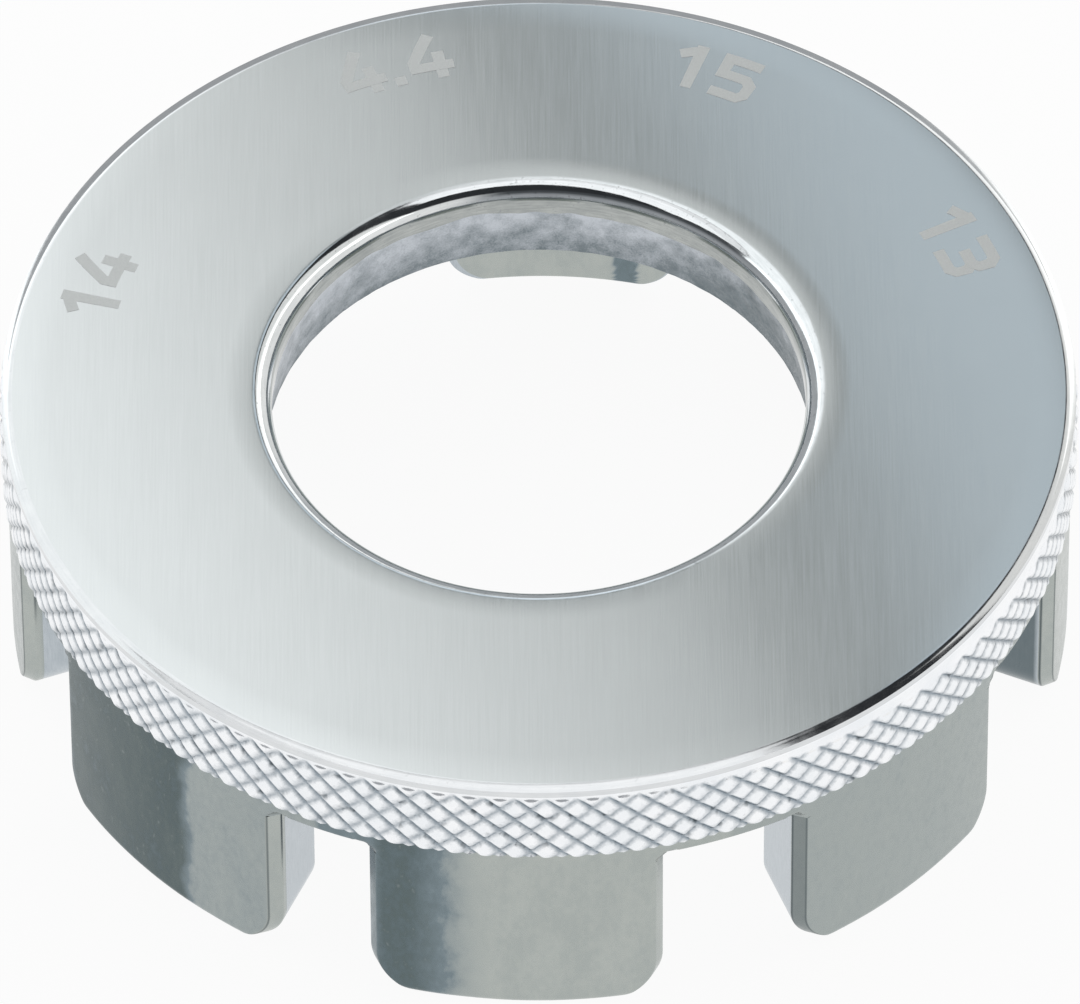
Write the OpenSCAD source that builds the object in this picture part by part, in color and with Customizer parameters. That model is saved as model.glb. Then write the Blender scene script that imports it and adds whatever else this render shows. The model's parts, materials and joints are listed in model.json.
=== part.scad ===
// Round spoke wrench: a flat ring of plated steel with a knurled edge and eight jaws below it.
// The gaps between the jaws are slots for four sizes of nipple, each size cut twice, on opposite sides.
// Units are millimetres. The wrench stands on its jaw tips at z = 0, with the bore on the Z axis.
// The slots for 13 gauge nipples lie along X, and those for 4.4 mm nipples along Y.

/* [Plate] */
// Diameter over the crests of the knurl
knurl_dia = 36; // [33:0.5:40]
// Height from the jaw tips to the top face
total_h = 10.9; // [9.5:0.1:14]
// Thickness of the plate at the bore
plate_t = 3.25; // [2.75:0.25:4]
// Height of the plain edge above the knurl, with its bevel
plain_edge_h = 0.35; // [0.35:0.05:0.9]
// How far the plain edge lies inside the knurl's crests
plain_edge_inset = 0.1; // [0.05:0.05:0.3]
// Width of the bevel round the top face
face_bevel = 0.2; // [0.1:0.05:0.3]

/* [Bore] */
// Diameter of the bore at its smooth land
bore_dia = 17.8; // [14:0.2:20]
// Radius that rounds the bore's top edge
bore_round = 0.65; // [0.3:0.05:1]
// Length of the smooth land below that round
land_h = 0.45; // [0.3:0.05:1]
// How far the torn wall below the land flares out
tear_flare = 0.22; // [0.1:0.02:0.4]

/* [Knurl] */
// Number of diamonds round the edge
knurl_count = 111; // [90:1:130]
// Number of diamond rows, from top to bottom
knurl_rows = 3; // [2:1:4]
// Depth of the knurl, from crest to valley
knurl_depth = 0.4; // [0.2:0.05:0.5]
// Wall left behind the valleys
band_wall = 0.3; // [0.2:0.05:0.5]

/* [Jaws] */
// Thickness of the jaws, from the inside to the outside
jaw_t = 2.9; // [2:0.1:3.5]
// How far the jaws lie inside the knurl's crests
jaw_inset = 0.2; // [0.1:0.05:0.5]
// Radius of the cove inside, between the plate and the jaws
cove_r = 0.55; // [0.3:0.05:1]
// Radius of a jaw's two lower corners
jaw_corner = 1.7; // [0.8:0.1:2.2]
// Radius round the outer edge of a jaw's tip
tip_round = 0.35; // [0.15:0.05:0.6]
// Bevel on a jaw's outer upright edges
jaw_bevel = 0.4; // [0.2:0.05:0.7]

/* [Slots] */
// Width of the slots for 13 gauge nipples
slot_13 = 3.9; // [3.7:0.05:4.1]
// Width of the slots marked 14, which are the widest
slot_14 = 4.9; // [4.7:0.05:5.1]
// Width of the slots for 15 gauge nipples
slot_15 = 3.15; // [3.05:0.05:3.35]
// Width of the slots for 4.4 mm nipples
slot_44 = 4.55; // [4.4:0.05:4.7]
// Radius of a slot's two upper corners
slot_fillet = 0.4; // [0.2:0.05:0.8]

/* [Hidden] */

// Sizes of the slots counter-clockwise from +X. Each size is cut right across the ring, which makes
// two slots, so after half a turn the sizes come again.
sizes = [slot_13, slot_15, slot_44, slot_14];
jaw_count = 2 * len(sizes);
jaw_turn = 360 / jaw_count;

// Radii, from the outside in
crest_r = knurl_dia / 2;
plain_edge_r = crest_r - plain_edge_inset;
jaw_out_r = crest_r - jaw_inset;
valley_r = crest_r - knurl_depth;
seat_r = valley_r - band_wall;
jaw_in_r = jaw_out_r - jaw_t;
bore_r = bore_dia / 2;

// Heights, from the top down
band_top_z = total_h - plain_edge_h;
tear_top_z = total_h - bore_round - land_h;
underside_z = total_h - plate_t;
slot_roof_z = underside_z - cove_r;
jaw_top_z = slot_roof_z - slot_fillet;

// Height of the knurled band, which ends level with the underside of the plate
band_h = band_top_z - underside_z;

// Every cut runs past the metal by this much
overrun = 1;
arc_fn = 96;
ring_fn = 180;

// What is left of a square corner outside a quarter round of radius r. The corner is at the origin,
// with its arms along +X and +Y.
module corner_waste(r) {
    difference() {
        square(r);
        translate([r, r]) circle(r, $fn = arc_fn);
    }
}

// Half section of the plate: a disc with a rounded and torn bore, a groove that seats the band, and
// a rim below with a cove inside it, which the jaws hang from
module plate_section() {
    difference() {
        union() {
            translate([bore_r, underside_z]) square([seat_r - bore_r, plate_t]);
            translate([jaw_in_r, jaw_top_z]) square([jaw_t, underside_z - jaw_top_z]);
            translate([jaw_in_r, underside_z]) rotate(180) corner_waste(cove_r);
            polygon([
                [bore_r + bore_round, band_top_z],
                [plain_edge_r, band_top_z],
                [plain_edge_r, total_h - face_bevel],
                [plain_edge_r - face_bevel, total_h],
                [bore_r + bore_round, total_h]
            ]);
        }
        translate([bore_r, total_h]) mirror([0, 1]) corner_waste(bore_round);
        polygon([
            [bore_r, tear_top_z],
            [bore_r + tear_flare, underside_z],
            [bore_r + tear_flare, underside_z - overrun],
            [bore_r - overrun, underside_z - overrun],
            [bore_r - overrun, tear_top_z]
        ]);
    }
}

// The roofs of two opposite slots, with their rounded corners, as one cutter along X below the plate
module slot_roof_cutter(width) {
    reach = crest_r + overrun;
    translate([-reach, 0, 0]) rotate([90, 0, 90]) linear_extrude(2 * reach) difference() {
        translate([-width / 2, jaw_top_z - overrun]) square([width, slot_fillet + overrun]);
        for (side = [0, 1]) mirror([side, 0])
            translate([width / 2, slot_roof_z]) rotate(180) corner_waste(slot_fillet);
    }
}

module face_plate() {
    color("gainsboro") difference() {
        rotate([0, 0, jaw_turn / 2]) rotate_extrude($fn = ring_fn) plate_section();
        for (i = [0:len(sizes) - 1]) rotate([0, 0, i * jaw_turn]) slot_roof_cutter(sizes[i]);
    }
}

// A diamond knurl is a chequered grid of crests and valleys wrapped round the band, with one column
// for each half diamond. Every cell is folded along the line that joins its two valleys.
module knurled_band() {
    columns = 2 * knurl_count;
    levels = 2 * knurl_rows;
    // The flat facets inside the band stay clear of the round seat
    inner_r = seat_r / cos(180 / columns);
    function is_crest(i, j) = (i + j) % 2 == 1;
    function at(r, i, z) = [r * cos(360 * i / columns), r * sin(360 * i / columns), z];
    function outer(i, j) = j * columns + i % columns;
    function low(i) = outer(i, levels + 1);
    function high(i) = outer(i, levels + 2);
    points = [
        for (j = [0:levels], i = [0:columns - 1])
            at(is_crest(i, j) ? crest_r : valley_r, i, underside_z + band_h * j / levels),
        for (z = [underside_z, band_top_z], i = [0:columns - 1]) at(inner_r, i, z)
    ];
    cells = [
        for (j = [0:levels - 1], i = [0:columns - 1])
            let (a = outer(i, j), b = outer(i + 1, j), c = outer(i + 1, j + 1), d = outer(i, j + 1))
            each is_crest(i, j) ? [[a, d, b], [d, c, b]] : [[a, d, c], [a, c, b]]
    ];
    flat_faces = [
        for (i = [0:columns - 1]) each [
            [low(i), outer(i, 0), outer(i + 1, 0)],
            [low(i), outer(i + 1, 0), low(i + 1)],
            [high(i), outer(i + 1, levels), outer(i, levels)],
            [high(i), high(i + 1), outer(i + 1, levels)],
            [low(i), low(i + 1), high(i + 1)],
            [low(i), high(i + 1), high(i)]
        ]
    ];
    color("whitesmoke") polyhedron(points, concat(cells, flat_faces));
}

// Half section of the ring that the jaws are cut from, with a large round outside its tip and a
// small one inside
module skirt_section() {
    difference() {
        translate([jaw_in_r, 0]) square([jaw_t, jaw_top_z]);
        translate([jaw_out_r, 0]) mirror([1, 0]) corner_waste(tip_round);
        translate([jaw_in_r, 0]) corner_waste(tip_round / 2);
    }
}

// End view of what a slot takes away between two jaws: straight flanks, and a mouth that rounds the
// lower corners of the jaws on both sides
module slot_outline(width) {
    difference() {
        translate([-width / 2 - jaw_corner, -overrun])
            square([width + 2 * jaw_corner, jaw_top_z + 2 * overrun]);
        for (side = [0, 1]) mirror([side, 0]) {
            translate([width / 2, jaw_corner]) square([jaw_corner + overrun, jaw_top_z + overrun]);
            translate([width / 2 + jaw_corner, jaw_corner]) circle(jaw_corner, $fn = arc_fn);
        }
    }
}

// One slot as a cutter along +X, with the bevels on the upright edges of the jaws beside it
module slot_cutter(width) {
    mouth_half = width / 2 + jaw_corner;
    start_x = sqrt(pow(jaw_in_r, 2) - pow(mouth_half, 2)) - overrun;
    edge_x = sqrt(pow(jaw_out_r, 2) - pow(width / 2, 2));
    bevel_side = sqrt(2) * jaw_bevel;
    translate([start_x, 0, 0]) rotate([90, 0, 90])
        linear_extrude(jaw_out_r + overrun - start_x) slot_outline(width);
    for (side = [-1, 1]) translate([edge_x, side * width / 2, -overrun]) rotate([0, 0, 45])
        translate([-bevel_side / 2, -bevel_side / 2, 0])
            cube([bevel_side, bevel_side, jaw_top_z + 2 * overrun]);
}

// One jaw is what two neighbouring slots leave of the ring between them. Jaw 1 follows the slot at +X.
module jaw(number) {
    half_turn = jaw_turn / 2;
    color("silver") rotate([0, 0, number * jaw_turn - half_turn]) difference() {
        rotate([0, 0, -half_turn]) rotate_extrude(angle = jaw_turn, $fn = ring_fn) skirt_section();
        rotate([0, 0, -half_turn]) slot_cutter(sizes[(number - 1) % len(sizes)]);
        rotate([0, 0, half_turn]) slot_cutter(sizes[number % len(sizes)]);
    }
}

face_plate();
knurled_band();
for (number = [1:jaw_count]) jaw(number);
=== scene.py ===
import bpy
import json
import math
import numpy as np
from mathutils import Matrix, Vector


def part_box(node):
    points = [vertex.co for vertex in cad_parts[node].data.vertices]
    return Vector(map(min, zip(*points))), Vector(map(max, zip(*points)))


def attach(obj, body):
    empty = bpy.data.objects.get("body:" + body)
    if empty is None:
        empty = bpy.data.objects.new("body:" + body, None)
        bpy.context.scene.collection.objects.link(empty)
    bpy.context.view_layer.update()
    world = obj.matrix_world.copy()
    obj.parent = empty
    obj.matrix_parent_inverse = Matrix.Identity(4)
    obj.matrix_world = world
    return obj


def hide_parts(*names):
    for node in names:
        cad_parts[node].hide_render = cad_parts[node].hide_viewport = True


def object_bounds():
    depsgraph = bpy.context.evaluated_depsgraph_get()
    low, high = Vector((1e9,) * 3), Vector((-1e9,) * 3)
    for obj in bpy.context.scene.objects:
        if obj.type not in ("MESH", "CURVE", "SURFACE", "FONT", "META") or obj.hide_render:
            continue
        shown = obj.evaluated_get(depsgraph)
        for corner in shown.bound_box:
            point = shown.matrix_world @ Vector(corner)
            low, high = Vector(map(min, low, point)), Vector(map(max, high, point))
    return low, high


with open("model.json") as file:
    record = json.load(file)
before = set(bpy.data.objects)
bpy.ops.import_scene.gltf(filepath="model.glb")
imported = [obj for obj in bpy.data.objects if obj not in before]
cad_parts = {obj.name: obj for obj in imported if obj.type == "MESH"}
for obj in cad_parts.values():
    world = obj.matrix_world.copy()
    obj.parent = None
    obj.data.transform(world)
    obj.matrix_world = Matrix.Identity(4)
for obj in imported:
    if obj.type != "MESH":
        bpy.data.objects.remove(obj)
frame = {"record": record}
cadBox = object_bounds()
mm = 0.001

# Sizes that several pieces share, read from the frame where it holds them
wrench = {
    "crestRadius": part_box("knurled_band")[1].x,
    "plainEdgeRadius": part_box("face_plate")[1].x,
    "topHeight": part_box("face_plate")[1].z,
    "bandTop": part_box("knurled_band")[1].z,
    "underside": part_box("knurled_band")[0].z,
    "jawTop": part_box("jaw_1")[1].z,
    "tipHeight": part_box("jaw_1")[0].z,
    "boreRadius": next(m for m in frame["record"]["mounts"] if m["name"] == "bore")["dims"]["r_mm"] * mm,
    "seatRadius": 17.3 * mm,                                 # where the knurled band sits on the plate
    "jawInset": 0.2 * mm,                                    # jaws inside the knurl's crests
    "jawThickness": 2.9 * mm,
    "jawBevel": 0.4 * mm,                                    # on the outer upright edges
    "slotFillet": 0.4 * mm,
    "slotWidths": np.array([3.9, 3.15, 4.55, 4.9]) * mm,     # counter-clockwise from +X, then again
    "skinInset": 0.004 * mm,                                 # keeps the finish inside the solids' box
    "markHeight": 0.008 * mm,                                # how far the etched marks stand on the face
}
wrench["jawOutRadius"] = wrench["crestRadius"] - wrench["jawInset"]
wrench["jawInRadius"] = wrench["jawOutRadius"] - wrench["jawThickness"]
wrench["slotRoof"] = wrench["jawTop"] + wrench["slotFillet"]
wrench["halfWidths"] = np.tile(wrench["slotWidths"] / 2, 2)  # one for each of the eight slots
wrench["faceHeight"] = wrench["topHeight"] - wrench["skinInset"] - wrench["markHeight"]
slotCount = len(wrench["halfWidths"])
slotTurn = 2 * math.pi / slotCount


def latticeNoise(u, v, cellsU, seed):
    # Random values on a lattice that closes after cellsU cells in u, blended between the four nearest
    # lattice points with a smooth step in each direction. The result lies between -1 and 1.
    cellsV = 64                         # more than any wall here needs
    values = np.random.default_rng(seed).uniform(-1, 1, (cellsU, cellsV))
    uFloor = np.floor(u)
    vFloor = np.floor(v)
    uPart = smoothStep(u - uFloor)
    vPart = smoothStep(v - vFloor)
    u0 = uFloor.astype(int) % cellsU
    v0 = vFloor.astype(int) % cellsV
    u1 = (u0 + 1) % cellsU
    v1 = (v0 + 1) % cellsV
    low = values[u0, v0] * (1 - uPart) + values[u1, v0] * uPart
    high = values[u0, v1] * (1 - uPart) + values[u1, v1] * uPart
    return low * (1 - vPart) + high * vPart


def smoothStep(share):
    # A share below 0 gives 0, above 1 gives 1, and between them a curve that is level at both ends
    share = np.clip(share, 0, 1)
    return share * share * (3 - 2 * share)


def ringNoise(angle, along, radius, grain, seed):
    # Lattice noise on a wall of that radius, with cells about one grain wide both ways
    cells = max(3, round(2 * math.pi * radius / grain))
    return latticeNoise(angle / (2 * math.pi) * cells, along / grain, cells, seed)


def ringNoises(angle, along, radius, grains, seed):
    # The sum of a few such noises, from pairs of a grain's width and its share
    return sum(share * ringNoise(angle, along, radius, grain, seed + order)
               for order, (grain, share) in enumerate(grains))


def turnBetween(angle, direction):
    # How far an angle is from a direction, either way round, up to half a turn
    return np.abs((angle - direction + math.pi) % (2 * math.pi) - math.pi)


def gridFaces(rows, columns, closedRows, closedColumns):
    # Every cell of a grid of points as a quad, with the last row or column joined to the first one
    # where the grid is closed that way
    i = np.arange(rows - (not closedRows))
    j = np.arange(columns - (not closedColumns))
    i, j = np.meshgrid(i, j, indexing="ij")
    iNext = (i + 1) % rows
    jNext = (j + 1) % columns
    corners = [i * columns + j, i * columns + jNext, iNext * columns + jNext, iNext * columns + j]
    return np.stack([c.ravel() for c in corners], 1)


def ringPoints(radius, angle, height):
    # Points from cylindrical coordinates round the bore's axis, one row of x, y, z for each
    return np.stack([radius * np.cos(angle), radius * np.sin(angle), height], -1).reshape(-1, 3)


def addObject(name, data):
    # Puts an object with that data in the scene
    made = bpy.data.objects.new(name, data)
    bpy.context.scene.collection.objects.link(made)
    return made


def makePiece(name, points, faces, materials, slotOfFace, sharpAngle, replaces, shades=None):
    # A smooth mesh with sharp edges where its faces meet at more than the angle. shades holds values
    # for the points, which the materials read as attributes.
    mesh = bpy.data.meshes.new(name)
    mesh.from_pydata(points.tolist(), [], faces)
    for material in materials:
        mesh.materials.append(material)
    if slotOfFace is not None:
        mesh.polygons.foreach_set("material_index", slotOfFace.astype(np.int32))
    for shade, values in (shades or {}).items():
        layer = mesh.attributes.new(shade, "FLOAT", "POINT")
        layer.data.foreach_set("value", values.ravel().astype(np.float32))
    mesh.polygons.foreach_set("use_smooth", np.ones(len(mesh.polygons), bool))
    mesh.set_sharp_from_angle(angle=math.radians(sharpAngle))
    mesh.update()
    piece = addObject(name, mesh)
    if replaces:
        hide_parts(*replaces)
    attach(piece, "root")
    print(name, len(mesh.polygons), "faces")


def arcPoints(centreR, centreZ, reachR, reachZ, fromDegrees, toDegrees, count):
    # Points of a profile along part of an ellipse, from its centre, the cosine of the angle outwards
    # and the sine upwards
    angle = np.radians(np.linspace(fromDegrees, toDegrees, count))
    return np.stack([centreR + reachR * np.cos(angle), centreZ + reachZ * np.sin(angle)], 1)


def linePoints(start, end, count):
    # Points spread evenly from one place to another
    return np.linspace(start, end, count)


# A painted dark reflection on the jaws' outsides, with one value for each jaw from jaw_1 on
paintedReflectionSettings = {
    "width": np.array([0.35, 0.2, 0.45, 0.0, 0.66, 0.3, 0.0, 0.0]),        # as a share of the jaw's
    "softness": np.array([0.1, 0.1, 0.1, 0.1, 0.06, 0.16, 0.1, 0.05]),     # width of its edge
    "strength": np.array([0.7, 0.8, 0.7, 0.0, 1.0, 0.88, 0.0, 0.0]),
    "rest": np.array([0.0, 0.0, 0.0, 0.3, 0.38, 0.0, 0.3, 0.0]),           # strength beyond its edge
    "ragged": ((1.1 * mm, 0.015), (0.4 * mm, 0.012)),   # grains of that edge, and how far they move it
    "thinRange": (0.02, 0.06),          # thin up to the first share of the jaw's width, full from the next
    "thinning": 0.3,
    "seed": 31,
}


def paintedReflectionShare(angle, height, s):
    # How much of that painted dark reflection shows at an angle round the wrench. Each jaw has it at its
    # clockwise end, up to a share of its width, behind an uneven edge.
    turn = (angle / slotTurn) % slotCount
    jaw = np.floor(turn).astype(int)
    reach = np.arcsin(wrench["halfWidths"] / wrench["jawOutRadius"]) / slotTurn
    start = reach[jaw]
    end = 1 - reach[(jaw + 1) % slotCount]
    along = (turn - jaw - start) / (end - start)
    ragged = ringNoises(angle, height, wrench["jawOutRadius"], s["ragged"], s["seed"])
    edge = (s["width"][jaw] - along + ragged) / s["softness"][jaw]
    near, far = s["thinRange"]
    thin = 1 - s["thinning"] * smoothStep((far - along) / (far - near))
    return np.maximum(s["strength"][jaw] * thin * smoothStep(0.5 + 0.5 * edge), s["rest"][jaw])


# Materials. Their patterns read Object coordinates, in metres, or an attribute of the piece. A bump
# is written as its depth and its strength, and a range as the values where a change begins and ends.

def addNode(tree, kind, inputs, **options):
    # Makes a node, sets its options, and feeds each input with a socket or a plain value
    node = tree.nodes.new("ShaderNode" + kind)
    for option, value in options.items():
        setattr(node, option, value)
    for key, value in inputs.items():
        if isinstance(value, bpy.types.NodeSocket):
            tree.links.new(value, node.inputs[key])
        else:
            node.inputs[key].default_value = value
    return node


def startMetal(name):
    # A metal with its node tree, and the place on the wrench that its patterns read
    material = bpy.data.materials.new(name)
    material.use_nodes = True
    tree = material.node_tree
    tree.nodes["Principled BSDF"].inputs["Metallic"].default_value = 1
    place = addNode(tree, "TexCoord", {}).outputs["Object"]
    return material, tree, place


def feedMetal(tree, colour, roughness, normal):
    # Links what a metal looks like to its shader. The roughness may be a plain value.
    inputs = tree.nodes["Principled BSDF"].inputs
    tree.links.new(colour, inputs["Base Color"])
    tree.links.new(normal, inputs["Normal"])
    if isinstance(roughness, float):
        inputs["Roughness"].default_value = roughness
    else:
        tree.links.new(roughness, inputs["Roughness"])


def noise(tree, place, size, detail=3.0, roughness=0.55, stretch=(1, 1, 1), turn=0.0):
    # Noise whose grains are about that size, longer by stretch along each axis after a turn about Z
    scale = [1 / (size * share) for share in stretch]
    mapping = addNode(tree, "Mapping", {"Vector": place, "Rotation": (0, 0, -turn)})
    sized = addNode(tree, "Mapping", {"Vector": mapping.outputs[0], "Scale": scale})
    inputs = {"Vector": sized.outputs[0], "Scale": 1.0, "Detail": detail, "Roughness": roughness}
    return addNode(tree, "TexNoise", inputs).outputs[0]


def remap(tree, value, low, high, toLow=0.0, toHigh=1.0):
    # Carries the range from low to high over to the other one, and holds its ends beyond it
    inputs = {0: value, 1: low, 2: high, 3: toLow, 4: toHigh}
    return addNode(tree, "MapRange", inputs, clamp=True).outputs[0]


def blend(tree, share, first, second):
    # A colour between two, each a socket or a plain colour
    inputs = {0: share}
    for key, colour in ((6, first), (7, second)):
        inputs[key] = (*colour, 1) if isinstance(colour, tuple) else colour
    return addNode(tree, "Mix", inputs, data_type="RGBA").outputs[2]


def add(tree, first, second):
    # The sum of two values, each a socket or a plain number
    return addNode(tree, "Math", {0: first, 1: second}, operation="ADD").outputs[0]


def multiply(tree, first, second):
    # And their product
    return addNode(tree, "Math", {0: first, 1: second}, operation="MULTIPLY").outputs[0]


def cosineTo(tree, vector, way):
    # How far a vector reaches along a fixed direction, which is the cosine between two unit vectors
    return addNode(tree, "VectorMath", {0: vector, 1: way}, operation="DOT_PRODUCT").outputs["Value"]


def shadeOf(tree, name):
    # One of the attributes that a piece carries on its points
    return addNode(tree, "Attribute", {}, attribute_name=name).outputs["Fac"]


def roundTheBore(tree, place):
    # Cylindrical coordinates: radius, turns round the bore's axis, and height
    parts = addNode(tree, "SeparateXYZ", {0: place})
    x, y, z = parts.outputs
    flat = addNode(tree, "CombineXYZ", {0: x, 1: y})
    radius = addNode(tree, "VectorMath", {0: flat.outputs[0]}, operation="LENGTH").outputs["Value"]
    angle = addNode(tree, "Math", {0: y, 1: x}, operation="ARCTAN2").outputs[0]
    return radius, angle, z


def bump(tree, height, depth, strength=1.0, under=None):
    # Tilts the surface as if the height stood out by up to the depth, over what under already tilts
    inputs = {"Height": height, "Distance": depth, "Strength": strength}
    if under is not None:
        inputs["Normal"] = under
    return addNode(tree, "Bump", inputs).outputs[0]


noiseSpan = (0.3, 0.7)                  # nearly all that a noise gives lies between these

brushSettings = {
    "tones": ((0.68, 0.705, 0.71), (0.71, 0.735, 0.74)),
    "direction": math.radians(69.4),    # the way the last brushing ran across the face
    "fine": {"size": 0.055 * mm, "detail": 2.0, "roughness": 0.6, "stretch": (1, 60, 1)},
    "broad": {"size": 0.5 * mm, "detail": 3.0, "roughness": 0.6, "stretch": (1, 14, 1)},
    "broadShare": 0.25,                 # how strong the broad marks are beside the fine ones
    "cloud": {"size": 3 * mm, "detail": 4.0, "roughness": 0.6},
    "markRange": (0.7, 1.3),            # sums of both marks between which the finish changes
    "toneRange": (0.6, 1.4),            # and those of the marks and the cloud
    "roughness": (0.1, 0.13),
    "depth": 0.00025 * mm,
}


def satinFaceMetal(s):
    # Fine straight brush marks over broad soft ones, and a faint cloud of thicker and thinner polish
    material, tree, place = startMetal("satinFace")
    turn = s["direction"] - math.pi / 2
    fine = noise(tree, place, turn=turn, **s["fine"])
    broad = noise(tree, place, turn=turn, **s["broad"])
    softer = remap(tree, broad, 0.0, 1.0, 0.5 - s["broadShare"], 0.5 + s["broadShare"])
    marks = add(tree, fine, softer)
    tone = add(tree, remap(tree, marks, *s["markRange"]), noise(tree, place, **s["cloud"]))
    colour = blend(tree, remap(tree, tone, *s["toneRange"]), *s["tones"])
    roughness = remap(tree, marks, *s["markRange"], *s["roughness"])
    feedMetal(tree, colour, roughness, bump(tree, marks, s["depth"]))
    return material


turnedFinishes = {
    "burnishedSteel": {"tones": ((0.68, 0.71, 0.725), (0.8, 0.825, 0.84)), "rough": 0.08, "pitted": 0.4},
    "landSteel": {"tones": ((0.33, 0.35, 0.345), (0.46, 0.48, 0.465)), "rough": 0.12, "pitted": 0.8},
    "plainEdgeSteel": {"tones": ((0.68, 0.7, 0.715), (0.76, 0.775, 0.785)), "rough": 0.1, "pitted": 0.15},
}
turnedSettings = {
    "drift": 0.8 * mm,                  # how far the turning marks change over one radian
    "lines": {"size": 0.07 * mm, "detail": 2.0, "roughness": 0.6},
    "cloud": {"size": 0.8 * mm},
    "pits": {"size": 0.12 * mm, "detail": 2.0},
    "pitRange": (0.28, 0.36),
    "pitColour": (0.3, 0.32, 0.33),
    "toneRange": (0.7, 1.3),
    "roughShares": (0.7, 1.4),          # the least and the most of how rough a finish is
    "depth": 0.0008 * mm,
}


def turnedMetal(name, own, s):
    # Turning marks that run round the bore, with small pits where the plating bridged a scratch
    material, tree, place = startMetal(name)
    radius, angle, z = roundTheBore(tree, place)
    lane = addNode(tree, "CombineXYZ", {0: radius, 1: multiply(tree, angle, s["drift"]), 2: z}).outputs[0]
    lines = noise(tree, lane, **s["lines"])
    cloud = noise(tree, place, **s["cloud"])
    pits = remap(tree, noise(tree, place, **s["pits"]), *s["pitRange"], own["pitted"], 0.0)
    tone = remap(tree, add(tree, lines, cloud), *s["toneRange"])
    toned = blend(tree, tone, *own["tones"])
    smooth, coarse = (share * own["rough"] for share in s["roughShares"])
    roughness = remap(tree, cloud, *noiseSpan, smooth, coarse)
    feedMetal(tree, blend(tree, pits, toned, s["pitColour"]), roughness, bump(tree, lines, s["depth"]))
    return material


tornFinish = {
    "tones": ((0.2, 0.235, 0.255), (0.6, 0.635, 0.68)),
    "grains": {"size": 0.07 * mm, "detail": 4.0, "roughness": 0.65},
    "patches": {"size": 0.7 * mm, "detail": 2.0},
    "rise": (-0.18, 0.34),              # how much lighter the wall is at its foot and at its top
    "topDepth": 1 * mm,                 # how far below the face that top lies
    "dimDirection": math.radians(-10),  # the side towards which the wall is darker
    "dimRange": (5 * mm, 8 * mm),       # distances that way at which the darkening begins and is full
    "dimming": -0.4,
    "toneRange": (0.7, 1.4),
    "roughness": (0.28, 0.5),
    "bump": (0.03 * mm, 0.6),
}


def tornMetal(s):
    # The wall that tore as the bore was pierced: coarse grains with bright facets and dark hollows
    material, tree, place = startMetal("tornSteel")
    grains = noise(tree, place, **s["grains"])
    height = addNode(tree, "SeparateXYZ", {0: place}).outputs[2]
    rise = remap(tree, height, wrench["underside"], wrench["topHeight"] - s["topDepth"], *s["rise"])
    dimWay = (math.cos(s["dimDirection"]), math.sin(s["dimDirection"]), 0)
    darkerTone = remap(tree, cosineTo(tree, place, dimWay), *s["dimRange"], 0.0, s["dimming"])
    mixed = add(tree, add(tree, grains, noise(tree, place, **s["patches"])), add(tree, rise, darkerTone))
    colour = blend(tree, remap(tree, mixed, *s["toneRange"]), *s["tones"])
    roughness = remap(tree, grains, *noiseSpan, *s["roughness"])
    feedMetal(tree, colour, roughness, bump(tree, grains, *s["bump"]))
    return material


knurlFinish = {
    "islands": ((0.88, 0.905, 0.93), (0.96, 0.97, 0.985)),
    "lightGrooveShade": (0.3, 0.345, 0.385),
    "darkGrooveShade": (0.17, 0.205, 0.235),
    "gritColour": (0.05, 0.065, 0.075),
    "grains": {"size": 0.16 * mm, "roughness": 0.6},
    "cloud": {"size": 1.6 * mm},
    "cloudRange": (0.35, 0.65),
    "grit": {"size": 0.45 * mm, "detail": 2.0},
    "gritRange": (0.6, 0.7),
    "gritShare": 0.8,
    "grooveShadeUneven": 0.12,                 # how much the grains move the edge of the painted groove shade
    "grooveShadeRange": (0.1, 0.9),
    "roughness": (0.1, 0.2),
    "bump": (0.006 * mm, 0.5),
}


def knurlMetal(s):
    # Bright plate on the islands, with painted shade and grit in the grooves
    material, tree, place = startMetal("brightKnurl")
    valley = shadeOf(tree, "valley")
    grains = noise(tree, place, **s["grains"])
    cloud = remap(tree, noise(tree, place, **s["cloud"]), *s["cloudRange"])
    # Painted shade in the grooves, with its edge moved by the grains
    uneven = add(tree, valley, remap(tree, grains, *noiseSpan, -s["grooveShadeUneven"], s["grooveShadeUneven"]))
    darkerTone = blend(tree, shadeOf(tree, "darkerGrooves"), s["lightGrooveShade"], s["darkGrooveShade"])
    toned = blend(tree, remap(tree, uneven, *s["grooveShadeRange"]), blend(tree, cloud, *s["islands"]), darkerTone)
    grit = remap(tree, noise(tree, place, **s["grit"]), *s["gritRange"], 0.0, s["gritShare"])
    colour = blend(tree, multiply(tree, grit, valley), toned, s["gritColour"])
    roughness = remap(tree, grains, *noiseSpan, *s["roughness"])
    feedMetal(tree, colour, roughness, bump(tree, grains, *s["bump"]))
    return material


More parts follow.
